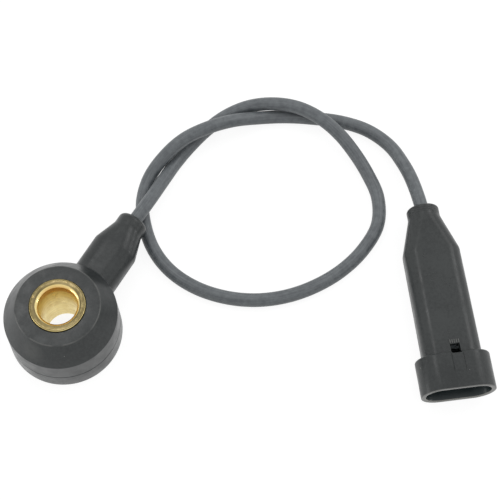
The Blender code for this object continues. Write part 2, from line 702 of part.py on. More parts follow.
def make_plug_body(group, finish, cutters, frame):
    """The moulded plug: round collar, shoulders, flat-topped body and open oval shroud."""
    collar = (COLLAR_RADIUS, COLLAR_RADIUS, COLLAR_RADIUS)
    body = (PLUG_BODY_HALF_WIDTH, PLUG_BODY_HALF_HEIGHT, PLUG_BODY_CORNER)
    drafted = (body[0] + PLUG_DRAFT, body[1] + PLUG_DRAFT, body[2])
    shroud = (SHROUD_HALF_WIDTH, SHROUD_HALF_HEIGHT, SHROUD_HALF_HEIGHT)
    stations = rounded_edge(0, collar, COLLAR_END_ROUND, 1)
    stations += [(COLLAR_LENGTH, *collar), (PLUG_BODY_START, *body), (SHROUD_START, *drafted)]
    stations += rounded_edge(SHROUD_START, shroud, SHROUD_EDGE_ROUND, 1)
    stations += [(PLUG_LENGTH, *shroud)]
    plug = lofted("plug_body", stations, group, finish, parent=frame)
    top = SHROUD_HALF_HEIGHT
    left = WINDOW_OFFSET - LOCK_WIDTH / 2
    ridge = box(
        "lock_ridge",
        (SHROUD_START + SHROUD_EDGE_ROUND, left, top - LOCK_RISE),
        (LOCK_END, left + LOCK_WIDTH, top + LOCK_RISE),
        group,
        parent=frame,
    )
    joined(plug, ridge)
    pocket = (CARRIER_HALF_WIDTH + FIT_GAP, CARRIER_HALF_HEIGHT + FIT_GAP, CARRIER_CORNER + FIT_GAP)
    passage = (PASSAGE_HALF_WIDTH, PASSAGE_HALF_HEIGHT, PASSAGE_HALF_HEIGHT)
    inner = SHROUD_HALF_HEIGHT - SHROUD_WALL
    mouth = (SHROUD_HALF_WIDTH - SHROUD_WALL, inner, inner)
    mouth_start = PLUG_LENGTH - MOUTH_DEPTH
    stations = [
        round_bar(-CAVITY_OVERLAP, CABLE_BORE_RADIUS),
        round_bar(CABLE_IN_PLUG + FIT_GAP, CABLE_BORE_RADIUS),
        (CRIMP_START - FIT_GAP, *passage),
        (CARRIER_START - FIT_GAP, *passage),
        (CARRIER_START - FIT_GAP, *pocket),
        (mouth_start, *pocket),
        (mouth_start, *mouth),
        (PLUG_LENGTH + CAVITY_OVERLAP, *mouth),
    ]
    cut(plug, lofted("plug_core", stations, cutters, parent=frame))
    window = box(
        "window_core",
        (WINDOW_START, WINDOW_OFFSET - WINDOW_WIDTH / 2, CARRIER_HALF_HEIGHT),
        (WINDOW_END, WINDOW_OFFSET + WINDOW_WIDTH / 2, top + CAVITY_OVERLAP),
        cutters,
        parent=frame,
    )
    return cut(plug, window)


def make_carrier(group, finish, cutters, frame):
    """The block in the plug that holds both terminals."""
    size = (CARRIER_HALF_WIDTH, CARRIER_HALF_HEIGHT, CARRIER_CORNER)
    front = PLUG_LENGTH - RECESS_DEPTH
    stations = [(CARRIER_START, *size), (front, *size)]
    carrier = lofted("terminal_carrier", stations, group, finish, parent=frame)
    for side in (-1, 1):
        half_width = PIN_WIDTH / 2 + FIT_GAP
        half_height = PIN_THICKNESS / 2 + FIT_GAP
        middle = side * PIN_OFFSET
        slot = box(
            "pin_slot_left" if side < 0 else "pin_slot_right",
            (CARRIER_START - CAVITY_OVERLAP, middle - half_width, -half_height),
            (front + CAVITY_OVERLAP, middle + half_width, half_height),
            cutters,
            parent=frame,
        )
        cut(carrier, slot)
    return carrier


def make_terminal(name, side, group, finish, cutters, frame):
    """A flat blade with a tapered tip and, at its back, the barrel crimped on the conductor."""
    middle = side * PIN_OFFSET
    crimp_end = CRIMP_START + CRIMP_LENGTH
    barrel = lofted(
        name,
        [round_bar(CRIMP_START, CRIMP_RADIUS), round_bar(crimp_end, CRIMP_RADIUS)],
        group,
        finish,
        at=(0, middle, 0),
        parent=frame,
    )
    half_width, half_height = PIN_WIDTH / 2, PIN_THICKNESS / 2
    corner = half_height / 4
    stations = [
        (crimp_end - CRIMP_LENGTH / 6, half_width, half_height, corner),
        (PIN_TIP - PIN_TIP_TAPER, half_width, half_height, corner),
        (PIN_TIP, half_width / 2, half_height / 2, corner),
    ]
    joined(barrel, lofted(name + "_blade", stations, group, at=(0, middle, 0), parent=frame))
    hole = [
        round_bar(CRIMP_START - CAVITY_OVERLAP, CONDUCTOR_RADIUS + FIT_GAP),
        round_bar(CRIMP_START + CRIMP_LENGTH * 0.75, CONDUCTOR_RADIUS + FIT_GAP),
    ]
    return cut(barrel, lofted(name + "_bore", hole, cutters, at=(0, middle, 0), parent=frame))


def make_plug(group, finishes, cutters):
    """The plug with its carrier, terminals and the bared conductors that reach them."""
    frame = plug_frame(group)
    make_plug_body(group, finishes["moulding"], cutters, frame)
    make_carrier(group, finishes["carrier"], cutters, frame)
    pairs = (("ground", -1, finishes["ground"]), ("signal", 1, finishes["signal"]))
    for name, side, finish in pairs:
        make_terminal(name + "_terminal", side, group, finishes["terminal"], cutters, frame)
        start = CABLE_IN_PLUG + FIT_GAP
        path = smooth_path(
            [
                (start, side * CONDUCTOR_SPREAD, 0),
                ((start + CRIMP_START) / 2, side * (CONDUCTOR_SPREAD + PIN_OFFSET) / 2, 0),
                (CRIMP_START, side * PIN_OFFSET, 0),
                (CRIMP_START + CRIMP_LENGTH / 2, side * PIN_OFFSET, 0),
            ],
            4,
        )
        tube("plug_" + name + "_wire", path, CONDUCTOR_RADIUS, group, finish, parent=frame)


def main():
    clear_scene()
    sensor = collection("Knock sensor")
    cutters = collection("Cutters", hidden=True)
    finishes = {
        "brass": material("sleeve brass", (0.62, 0.45, 0.18), 0.32, 1.0),
        "moulding": material("black moulding", (0.045, 0.049, 0.050), 0.5),
        "cable": material("grey cable jacket", (0.10, 0.11, 0.125), 0.55),
        "film": material("insulating film", (0.55, 0.33, 0.10), 0.45),
        "terminal": material("tinned brass", (0.62, 0.60, 0.52), 0.3, 1.0),
        "ceramic": material("piezo ceramic", (0.58, 0.55, 0.46), 0.6),
        "steel": material("plated steel", (0.42, 0.43, 0.44), 0.35, 1.0),
        "resistor": material("resistor coating", (0.35, 0.42, 0.46), 0.5),
        "carrier": material("terminal carrier", (0.05, 0.05, 0.05), 0.55),
        "signal": material("white wire", (0.75, 0.74, 0.70), 0.5),
        "ground": material("black wire", (0.03, 0.03, 0.03), 0.5),
    }
    make_sleeve(sensor, finishes["brass"])
    make_stack(sensor, finishes, cutters)
    make_housing(sensor, finishes["moulding"], cutters)
    make_resistor(sensor, finishes["resistor"])
    make_boss_conductors(sensor, finishes)
    tube("cable", evenly(cable_path(), CABLE_POINTS), CABLE_RADIUS, sensor, finishes["cable"])
    make_plug(sensor, finishes, cutters)
    bpy.context.view_layer.update()


main()
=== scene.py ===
"""Engine knock sensor: its looks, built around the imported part.

Units are metres in the part's own frame: +Z is up, the seat is at z = 0, and the bolt hole's axis stands at
x = RING_X. The shapes repeat the sizes of the part's source, with finer facets and the small real details.
"""

import math

import bmesh
import bpy
from mathutils import Matrix, Vector


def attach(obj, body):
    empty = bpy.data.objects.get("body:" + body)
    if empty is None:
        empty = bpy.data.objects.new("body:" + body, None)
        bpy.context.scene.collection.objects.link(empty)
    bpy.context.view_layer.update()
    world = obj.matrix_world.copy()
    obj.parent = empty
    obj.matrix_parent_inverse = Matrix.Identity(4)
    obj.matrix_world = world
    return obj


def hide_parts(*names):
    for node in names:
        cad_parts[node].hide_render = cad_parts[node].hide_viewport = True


MM = 0.001

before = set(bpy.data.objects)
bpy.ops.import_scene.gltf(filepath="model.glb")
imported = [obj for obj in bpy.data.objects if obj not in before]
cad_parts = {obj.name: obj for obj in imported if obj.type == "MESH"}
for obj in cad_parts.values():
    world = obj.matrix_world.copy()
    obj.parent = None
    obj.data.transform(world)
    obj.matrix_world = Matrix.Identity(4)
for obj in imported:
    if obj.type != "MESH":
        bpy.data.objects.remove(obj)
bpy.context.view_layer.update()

# Camera of the photograph: where it stands, the point it looks at, and its lens, in millimetres
CAMERA_PLACE_MM = (-78.64, -89.46, 280.94)
CAMERA_AIM_MM = (29.81, -24.81, 0)
CAMERA_LENS_MM = 97.2
CAMERA_SENSOR_MM = 36

# In what follows, an oblong is (half width, half height, corner radius), and a pair is (start, end).

# Sleeve. A chamfer is a line of (outwards from the bore, up from the end face), in millimetres.
BORE_RADIUS = 4.2 * MM
TOP_CHAMFER_MM = ((0.0, -0.6), (0.04, -0.52), (0.56, -0.03), (0.64, 0.0))
FOOT_CHAMFER_MM = ((0.42, 0.0), (0.36, 0.03), (0.0, 0.4))
SLEEVE_RADIUS = 6.0 * MM
SLEEVE_HEIGHT = 16.0 * MM
SLEEVE_RIM_ROUND = 0.25 * MM
FLANGE_RADIUS = 9.5 * MM
FLANGE_HEIGHT = 2.0 * MM
FOOT_RADIUS = 8.7 * MM
FOOT_HEIGHT = 1.1 * MM
FOOT_ROUND = 0.15 * MM
KEY_LOW = 14.35 * MM
KEY_HIGH = 15.25 * MM
KEY_DEPTH = 0.35 * MM

# Housing. The boss's lengths run from the bolt hole's axis.
FIT_GAP = 0.3 * MM
SLEEVE_JOINT = 0.04 * MM
SLEEVE_JOINT_EDGE = 0.12 * MM
RING_X = -8.15 * MM
RING_RADIUS = 12.3 * MM
RING_DRAFT = 0.2 * MM
RING_TOP_RADIUS = 9.2 * MM
RING_TOP = 15.6 * MM
RING_SHOULDER = 10.6 * MM
RING_BOTTOM = 0.2 * MM
RING_RIM_ROUND = 0.22 * MM
RING_EDGE_ROUND = 0.32 * MM
CAVITY_RADIUS = 9.8 * MM
CAVITY_ROOF = 14.15 * MM
NUT_LOW = 12.15 * MM
NUT_CAVITY = 8.9 * MM
SPRING_LOW = 11.1 * MM
PARTING_HEIGHT = 4.9 * MM
PARTING_HALF_WIDTH = 0.15 * MM
PARTING_FLOOR_HALF_WIDTH = 0.04 * MM
PARTING_DEPTH = 0.10 * MM
BOSS_Z = 5.5 * MM
BOSS_REACH = 28.8 * MM
BOSS_BODY = (5.19 * MM, 3.98 * MM, 3.7 * MM)
BOSS_TAPER = (20.67 * MM, 25.81 * MM)
BOSS_ROOT = 10.4 * MM
BOSS_BODY_START = 14.0 * MM
BOSS_DROP = 0.27 * MM
BOSS_FILLET = 0.45 * MM
BOSS_FILLET_ROOT = 0.3 * MM
BOSS_EASE = 0.4 * MM
BOSS_WALL = 0.9 * MM
BOSS_POCKET = (8.4 * MM, 20.07 * MM)
BOSS_POCKET_CORNER = 1.8 * MM
NECK_RADIUS = 3.5 * MM
NECK_ROUND = 1.2 * MM

# Cable. The edge of the holes that it enters is (depth, width past the hole's wall).
CABLE_RADIUS = 1.55 * MM
CABLE_JOINT = 0.03 * MM
CABLE_ENTRY_LIP = 0.2 * MM
CABLE_ENTRY_EDGE = ((0.07 * MM, 0.06 * MM), (0.25 * MM, 0.0))
CABLE_IN_BOSS = 7.6 * MM
CABLE_IN_PLUG = 7.0 * MM
CABLE_ROUTE_MM = [
    (27.1, 0.09, 4.9),
    (33.23, 0.64, 3.22),
    (39.26, 1.08, 1.72),
    (44.8, 0.61, 1.6),
    (50.67, -0.5, 1.6),
    (56.34, -2.52, 1.68),
    (60.74, -6.06, 2.62),
    (63.58, -11.18, 4.18),
    (65.1, -16.94, 5.24),
    (65.25, -22.8, 5.25),
    (64.4, -28.32, 4.25),
    (62.73, -33.41, 2.65),
    (59.78, -38.79, 1.72),
    (55.69, -43.71, 1.6),
    (49.6, -46.99, 1.6),
    (42.47, -47.21, 1.6),
    (35.63, -45.59, 1.6),
    (29.37, -42.5, 1.6),
    (23.83, -38.18, 1.6),
    (19.41, -32.72, 1.6),
    (16.42, -26.36, 1.6),
    (15.03, -19.51, 1.6),
    (15.51, -12.66, 1.6),
    (17.88, -6.67, 1.6),
    (21.9, -1.62, 1.6),
    (27.07, 2.36, 1.6),
    (32.76, 4.04, 2.44),
    (38.52, 3.48, 4.05),
    (43.88, 1.57, 5.58),
    (49.17, -1.51, 5.7),
    (54.5, -5.28, 4.5),
    (59.62, -9.68, 2.1),
    (63.38, -14.92, 1.65),
    (66.35, -20.72, 1.6),
    (68.79, -26.73, 1.6),
    (69.94, -33.1, 1.65),
    (68.81, -39.57, 2.05),
    (65.63, -45.02, 2.95),
    (62.23, -49.13, 3.77),
]

# Plug
PLUG_PLACE = Vector((56.73 * MM, -54.33 * MM, 4.6 * MM))
PLUG_HEADING = math.radians(-141.9)
PLUG_LENGTH = 44.2 * MM
COLLAR_RADIUS = 3.66 * MM
COLLAR_LENGTH = 2.5 * MM
COLLAR_END_ROUND = 0.6 * MM
COLLAR_RINGS = (1.0 * MM, 1.5 * MM, 2.0 * MM)
COLLAR_RING_HALF_WIDTH = 0.12 * MM
COLLAR_RING_DEPTH = 0.05 * MM
PLUG_BODY_START = 11.0 * MM
PLUG_BODY = (6.38 * MM, 3.8 * MM, 3.1 * MM)
PLUG_DRAFT = 0.08 * MM
PLUG_EASE = 0.5 * MM
SHROUD_START = 36.0 * MM
SHROUD = (8.2 * MM, 4.6 * MM, 4.6 * MM)
SHROUD_WALL = 1.05 * MM
SHROUD_BACK_STEP = 0.01 * MM
SHROUD_BACK_RISE = 0.12 * MM
SHROUD_BACK_ROUND = 0.4 * MM
SHROUD_RIM_ROUND = 0.16 * MM
MOUTH_DEPTH = 7.4 * MM
MOUTH_EDGE = 0.05 * MM
CABLE_HOLE_END = 7.3 * MM
PASSAGE = (14.3 * MM, 18.7 * MM)
PASSAGE_SIZE = (4.2 * MM, 1.7 * MM, 1.7 * MM)
POCKET_SIZE = (5.0 * MM, 2.7 * MM, 0.9 * MM)
WINDOW = (34.15 * MM, 36.5 * MM)
WINDOW_OFFSET = 0.45 * MM
WINDOW_WIDTH = 2.1 * MM
WINDOW_FLOOR = 2.4 * MM
LOCK_END = 40.6 * MM
LOCK_WIDTH = 2.4 * MM
LOCK_RISE = 0.15 * MM
LOCK_START_GAP = 0.35 * MM
LOCK_GROOVE_BESIDE = (0.04 * MM, 0.20 * MM)
LOCK_GROOVE_DEPTH = 0.12 * MM
LOCK_GROOVE_END_GAP = 0.2 * MM
TEETH = 5
TOOTH_PITCH = 0.46 * MM
TOOTH_BEFORE_WINDOW = (1.0 * MM, 0.1 * MM)
TOOTH_HALF_WIDTH = 0.12 * MM
TOOTH_RISE = 0.16 * MM
TOOTH_ROOT = 0.3 * MM
TOOTH_EDGE = 0.07 * MM

# The lock ridge's rings from its root up, as (height above the shroud, spread), and how its sides and its
# far end follow the spread
LOCK_RINGS = (
    (-0.4 * MM, 0.14 * MM),
    (0.0, 0.10 * MM),
    (LOCK_RISE - 0.03 * MM, 0.01 * MM),
    (LOCK_RISE, -0.04 * MM),
)
LOCK_LEFT_SHARE = 0.3
LOCK_RIGHT_SHARE = 0.2
LOCK_FAR_SHARE = 3.0
LOCK_FAR_GAP = 0.3 * MM

# How far a tool reaches past the face that it cuts open
CUT_OVERLAP = 1.0 * MM

# Facets
TURN_STEPS = 256
CORNER_STEPS = 20
FILLET_STEPS = 8
PATH_STEPS = 24
CABLE_SIDES = 48
MERGE_DISTANCE = 0.0005 * MM
SHARP_ANGLE = math.radians(28)

# The most of a stretch that the rounding of one of its ends takes
EASED_SHARE = 0.45

# Painted light and shade, by where they lie on the object: directions on the table, and places
PAINTED_SHEEN_TOWARDS = (-0.512, 0.859)
BORE_SHADE_TOWARDS = (0.859, 0.512)
SHADED_SIDES_ACROSS = (0.46, -0.89)
LIT_PATCH_PLACE = (RING_X - 10.7 * MM, -0.4 * MM, 13.0 * MM)

# Colours. A pair is the two colours that a finish drifts between.
MOULDING = (0.0060, 0.0090, 0.0095), (0.0195, 0.0235, 0.0235)
# Pale moulding for worn places, and for painted light and highlights
WORN_AND_LIT_MOULDING = (0.125, 0.127, 0.120)
DUST = (0.34, 0.34, 0.32)
# Painted shade inside the mouth, and the painted highlight on its lip
MOUTH_PAINTED_SHADE = (0.009, 0.018, 0.020)
MOUTH_LIP_HIGHLIGHT = (0.26, 0.26, 0.24)
BRASS = (0.75, 0.60, 0.255), (0.88, 0.74, 0.35)
BRASS_BANDS = (0.48, 0.35, 0.13)
# Painted warm shade high on the bore's far wall
BRASS_BORE_SHADE = (0.66, 0.30, 0.07)
BRASS_STAIN = (0.36, 0.24, 0.10)
# Painted reflection: the brushed face's colours where it is lit, and on its two darker sides
BRUSHED_BRASS_LIT_SHADED = (0.140, 0.110, 0.050), (0.045, 0.034, 0.016)
BRUSHED_MARKS_LIT_SHADED = (0.30, 0.237, 0.130), (0.140, 0.110, 0.060)
JACKET = (0.072, 0.081, 0.089), (0.142, 0.156, 0.164)
JACKET_SCUFF = (0.42, 0.42, 0.40)

# Studio. The sky's grey follows how far a direction leans to SKY_TOP, from 0, away from it, to 1, along it.
STUDIO_MIDDLE = (20 * MM, -20 * MM, 0)
SKY_TOP = (0.40, 0.24, 0.885)
SKY_GREYS = ((0.0, 0.08), (0.32, 0.10), (0.52, 0.40), (0.72, 0.86), (1.0, 1.0))
WHITE = (1.0, 1.0, 1.0, 1.0)
FLOOR_HALF = 2.0
FLOOR_DROP = 0.02 * MM
FLOOR_GREY = 0.8
FLOOR_SHADED_GREY = 0.20
FLOOR_GLOW = 0.88

# Each lamp's direction from the middle, width, height and radiance. All stand LAMP_DISTANCE away.
LAMP_DISTANCE = 0.9
LAMPS = {
    "left_softbox": ((0.17, 0.37, 0.915), 0.12, 0.16, 5.6),
    "right_softbox": ((0.66, -0.28, 0.70), 0.36, 0.36, 1.6),
    "side_softbox": ((-0.72, 0.68, 0.12), 0.60, 0.22, 3.2),
    "glint_softbox": ((0.556, -0.796, 0.232), 0.15, 0.12, 5.5),
}


# Camera
def add_camera():
    """The camera of the photograph."""
    data = bpy.data.cameras.new("camera")
    data.lens = CAMERA_LENS_MM
    data.sensor_width = CAMERA_SENSOR_MM
    made = bpy.data.objects.new("camera", data)
    bpy.context.scene.collection.objects.link(made)
    made.location = Vector(CAMERA_PLACE_MM) * MM
    aim = Vector(CAMERA_AIM_MM) * MM
    made.rotation_euler = (aim - made.location).to_track_quat("-Z", "Y").to_euler()
    bpy.context.scene.camera = made


# Shapes
def add(name, data, finish=None, matrix=None):
    """Puts a new object with this data in the scene."""
    made = bpy.data.objects.new(name, data)
    bpy.context.scene.collection.objects.link(made)
    if matrix is not None:
        made.matrix_world = matrix
    if finish:
        data.materials.append(finish)
    return made


def mesh_of(shape, name):
    """The finished shape as a mesh."""
    mesh = bpy.data.meshes.new(name)
    shape.to_mesh(mesh)
    shape.free()
    return mesh


def smoothed(mesh):
    """The mesh shaded smooth, but for its real edges."""
    mesh.shade_smooth()
    mesh.set_sharp_from_angle(angle=SHARP_ANGLE)
    return mesh


def combined(obj, other, operation):
    """Joins other to obj, or cuts it out of obj, and removes other."""
    modifier = obj.modifiers.new(other.name, "BOOLEAN")
    modifier.operation = operation
    modifier.solver = "EXACT"
    modifier.object = other
    bpy.context.view_layer.update()
    graph = bpy.context.evaluated_depsgraph_get()
    mesh = bpy.data.meshes.new_from_object(obj.evaluated_get(graph))
    obj.modifiers.clear()
    old, obj.data = obj.data, smoothed(mesh)
    bpy.data.meshes.remove(old)
    bpy.data.objects.remove(other, do_unlink=True)
    return obj


def arc(centre, radius, start, end, steps=8):
    """Points along an arc, with its angles in degrees from the first axis."""
    angles = [math.radians(start + (end - start) * i / steps) for i in range(steps + 1)]
    return [(centre[0] + radius * math.cos(a), centre[1] + radius * math.sin(a)) for a in angles]


def turned(name, profile, finish):
    """A ring turned about the bolt hole's axis from a closed profile of (radius, height)."""
    shape = bmesh.new()
    rings = []
    for i in range(TURN_STEPS):
        angle = math.tau * (i + 0.5) / TURN_STEPS
        c, s = math.cos(angle), math.sin(angle)
        rings.append([shape.verts.new((RING_X + r * c, r * s, z)) for r, z in profile])
    count = len(profile)
    for i in range(TURN_STEPS):
        near, far = rings[i], rings[(i + 1) % TURN_STEPS]
        for j in range(count):
            k = (j + 1) % count
            shape.faces.new((near[j], near[k], far[k], far[j]))
    bmesh.ops.recalc_face_normals(shape, faces=shape.faces)
    return add(name, smoothed(mesh_of(shape, name)), finish)


def section(half_width, half_height, corner):
    """A rounded oblong as (y, z, normal y, normal z)."""
    points = []
    for quadrant in range(4):
        side = 1 if quadrant in (0, 3) else -1
        rise = 1 if quadrant in (0, 1) else -1
        for i in range(CORNER_STEPS + 1):
            angle = quadrant * math.pi / 2 + i / CORNER_STEPS * math.pi / 2
            ny, nz = math.cos(angle), math.sin(angle)
            y = side * (half_width - corner) + corner * ny
            z = rise * (half_height - corner) + corner * nz
            points.append((y, z, ny, nz))
    return points


def solid(name, rings, finish=None, matrix=None):
    """A closed body through rings of points, with a flat cap on its first and last ring."""
    shape = bmesh.new()
    rings = [[shape.verts.new(point) for point in ring] for ring in rings]
    count = len(rings[0])
    for near, far in zip(rings, rings[1:]):
        for i in range(count):
            j = (i + 1) % count
            shape.faces.new((near[i], near[j], far[j], far[i]))
    shape.faces.new(list(reversed(rings[0])))
    shape.faces.new(rings[-1])
    bmesh.ops.remove_doubles(shape, verts=shape.verts, dist=MERGE_DISTANCE)
    bmesh.ops.recalc_face_normals(shape, faces=shape.faces)
    return add(name, mesh_of(shape, name), finish, matrix)


def station_ring(x, half_width, half_height, corner, drop=0.0):
    """The points of one station: a rounded oblong across X, lowered by drop."""
    return [(x, y, z - drop) for y, z, _, _ in section(half_width, half_height, corner)]


def lofted(name, stations, finish=None, matrix=None):
    """A body along X through stations of (x, half width, half height, corner radius, drop if any)."""
    return solid(name, [station_ring(*station) for station in stations], finish, matrix)


def towards(here, other, length):
    """The point length along X from here to other, or EASED_SHARE of the way there if that is nearer."""
    stretch = abs(other[0] - here[0])
    return here + (other - here) * (min(length, stretch * EASED_SHARE) / stretch)


def eased(stations, length, steps=5):
    """The stations again, with each corner between them rounded over the given length on both sides."""
    points = [Vector(station) for station in stations]
    result = [points[0]]
    for before, here, after in zip(points, points[1:], points[2:]):
        start, end = towards(here, before, length), towards(here, after, length)
        for i in range(steps + 1):
            t = i / steps
            result.append(start * (1 - t) ** 2 + here * (2 * t * (1 - t)) + end * t * t)
    result.append(points[-1])
    return [tuple(p) for p in result]


def rounded_end(x, size, edge, direction, steps=8):
    """Stations that round an oblong's edge over: it grows from x to its full size, or ends at x."""
    half_width, half_height, corner = size
    stations = []
    for i in range(steps + 1):
        angle = math.pi / 2 * i / steps
        inset = edge * (1 - math.sin(angle))
        along = direction * edge * (1 - math.cos(angle))
        stations.append((x + along, half_width - inset, half_height - inset, corner - inset))
    return stations if direction > 0 else stations[::-1]


def block(name, low, high, matrix, edge=0.0):
    """A block between two corners, with rounded edges if edge is given."""
    shape = bmesh.new()
    bmesh.ops.create_cube(shape, size=1)
    low, high = Vector(low), Vector(high)
    for vertex in shape.verts:
        vertex.co = (low + high) / 2 + vertex.co * (high - low)
    if edge:
        bmesh.ops.bevel(shape, geom=shape.edges, offset=edge, segments=3, affect="EDGES", profile=0.5)
    return add(name, mesh_of(shape, name), matrix=matrix)


def smooth_path(points):
    """Points along one smooth curve through the given ones."""
    points = [Vector(p) for p in points]
    points = [2 * points[0] - points[1]] + points + [2 * points[-1] - points[-2]]
    path = []
    for p0, p1, p2, p3 in zip(points, points[1:], points[2:], points[3:]):
        knots = [0.0]
        for a, b in ((p0, p1), (p1, p2), (p2, p3)):
            knots.append(knots[-1] + math.sqrt((b - a).length))
        t0, t1, t2, t3 = knots
        for i in range(PATH_STEPS):
            t = t1 + (t2 - t1) * i / PATH_STEPS
            a1 = p0.lerp(p1, (t - t0) / (t1 - t0))
            a2 = p1.lerp(p2, (t - t1) / (t2 - t1))
            a3 = p2.lerp(p3, (t - t2) / (t3 - t2))
            b1 = a1.lerp(a2, (t - t0) / (t2 - t0))
            b2 = a2.lerp(a3, (t - t1) / (t3 - t1))
            path.append(b1.lerp(b2, (t - t1) / (t2 - t1)))
    return path + [points[-2]]


def tube(name, path, radius, finish):
    """A round bar along path with flat ends, and a map of (length, turn) for its finish."""
    shape = bmesh.new()
    layer = shape.loops.layers.uv.new("UVMap")
    side = Vector((0, 0, 1))
    rings, along = [], [0.0]
    for i, point in enumerate(path):
        ahead = (path[min(i + 1, len(path) - 1)] - path[max(i - 1, 0)]).normalized()
        side = (side - ahead * side.dot(ahead)).normalized()
        other = ahead.cross(side)
        if i:
            along.append(along[-1] + (point - path[i - 1]).length)
        ring = []
        for k in range(CABLE_SIDES):
            angle = math.tau * k / CABLE_SIDES
            outwards = side * math.cos(angle) + other * math.sin(angle)
            ring.append(shape.verts.new(point + radius * outwards))
        rings.append(ring)
    for i, (near, far) in enumerate(zip(rings, rings[1:])):
        for k in range(CABLE_SIDES):
            j = (k + 1) % CABLE_SIDES
            face = shape.faces.new((near[k], near[j], far[j], far[k]))
            places = ((i, k), (i, k + 1), (i + 1, k + 1), (i + 1, k))
            for loop, (step, turn) in zip(face.loops, places):
                loop[layer].uv = (along[step], turn / CABLE_SIDES)
    shape.faces.new(list(reversed(rings[0])))
    shape.faces.new(rings[-1])
    bmesh.ops.recalc_face_normals(shape, faces=shape.faces)
    return add(name, smoothed(mesh_of(shape, name)), finish)


# Finishes
class Finish:
    """A material whose colour, roughness and relief come from nodes in the object's own space."""

    def __init__(self, name, **settings):
        self.material = bpy.data.materials.new(name)
        self.material.use_nodes = True
        self.tree = self.material.node_tree
        self.shader = self.tree.nodes["Principled BSDF"]
        for socket, value in settings.items():
            self.shader.inputs[socket.replace("_", " ")].default_value = value
        self.place = self.node("ShaderNodeTexCoord").outputs["Object"]
        self.normal = None

    def node(self, kind, **inputs):
        """A new node with the named inputs set, where an underscore stands for a space."""
        made = self.tree.nodes.new(kind)
        for name, value in inputs.items():
            self.set(made.inputs[name.replace("_", " ")], value)
        return made

    def set(self, socket, value):
        """Links a socket to another one, or gives it a value."""
        if isinstance(value, bpy.types.NodeSocket):
            self.tree.links.new(value, socket)
        else:
            socket.default_value = value

    def math(self, operation, a, b=0.0, c=0.0):
        """A Math node's result."""
        made = self.tree.nodes.new("ShaderNodeMath")
        made.operation = operation
        for socket, value in zip(made.inputs, (a, b, c)):
            self.set(socket, value)
        return made.outputs[0]

    def vector(self, operation, a, b=(0.0, 0.0, 0.0)):
        """A Vector Math node's result."""
        made = self.tree.nodes.new("ShaderNodeVectorMath")
        made.operation = operation
        self.set(made.inputs[0], a)
        self.set(made.inputs[1], b)
        return made.outputs["Value" if operation == "LENGTH" else "Vector"]

    def product(self, first, *others):
        """The values multiplied."""
        for value in others:
            first = self.math("MULTIPLY", first, value)
        return first

    def length(self, a, b):
        """How long (a, b) is."""
        return self.math("SQRT", self.math("ADD", self.product(a, a), self.product(b, b)))

    def reach(self, a, b, direction):
        """How far (a, b) reaches in a direction."""
        return self.math("ADD", self.product(a, direction[0]), self.product(b, direction[1]))

    def axes(self, place):
        """The x, y and z of a place."""
        return self.node("ShaderNodeSeparateXYZ", Vector=place).outputs

    def noise(self, scale, detail=2.0, roughness=0.5, place=None):
        """Noise with about scale features to a metre, from 0 to 1."""
        place = place or self.place
        settings = {"Scale": scale, "Detail": detail, "Roughness": roughness}
        return self.node("ShaderNodeTexNoise", Vector=place, **settings).outputs["Fac"]

    def ramp(self, value, low, high, start=0.0, end=1.0):
        """value from low to high, as a number from start to end."""
        made = self.tree.nodes.new("ShaderNodeMapRange")
        made.interpolation_type = "SMOOTHSTEP"
        for socket, number in zip(made.inputs, (value, low, high, start, end)):
            self.set(socket, number)
        return made.outputs[0]

    def mix(self, share, a, b):
        """Colour a to colour b by share. A colour mix has them in sockets 6 and 7, and its result in 2."""
        made = self.tree.nodes.new("ShaderNodeMix")
        made.data_type = "RGBA"
        self.set(made.inputs[0], share)
        for socket, value in zip(made.inputs[6:8], (a, b)):
            self.set(socket, (*value, 1.0) if isinstance(value, tuple) else value)
        return made.outputs[2]

    def bump(self, height, strength, distance):
        """Relief on top of what relief the finish already has."""
        made = self.node("ShaderNodeBump", Height=height, Strength=strength, Distance=distance)
        if self.normal:
            self.set(made.inputs["Normal"], self.normal)
        self.normal = made.outputs["Normal"]

    def done(self, colour, roughness):
        """The finished material."""
        self.set(self.shader.inputs["Base Color"], colour)
        self.set(self.shader.inputs["Roughness"], roughness)
        self.set(self.shader.inputs["Normal"], self.normal)
        return self.material


def specks(look, scale, size, share):
    """A mask of small round specks: scale cells to a metre, of which share hold one."""
    cells = look.node("ShaderNodeTexVoronoi", Vector=look.place, Scale=scale)
    held = look.tree.nodes.new("ShaderNodeSeparateColor")
    look.set(held.inputs[0], cells.outputs["Color"])
    chosen = look.math("LESS_THAN", held.outputs[0], share)
    return look.product(chosen, look.ramp(cells.outputs["Distance"], size, size * 0.5))


def between(look, value, low, high, soft):
    """A mask that is 1 where value is from low to high, with a soft edge."""
    return look.product(look.ramp(value, low - soft, low), look.ramp(value, high, high + soft, 1.0, 0.0))


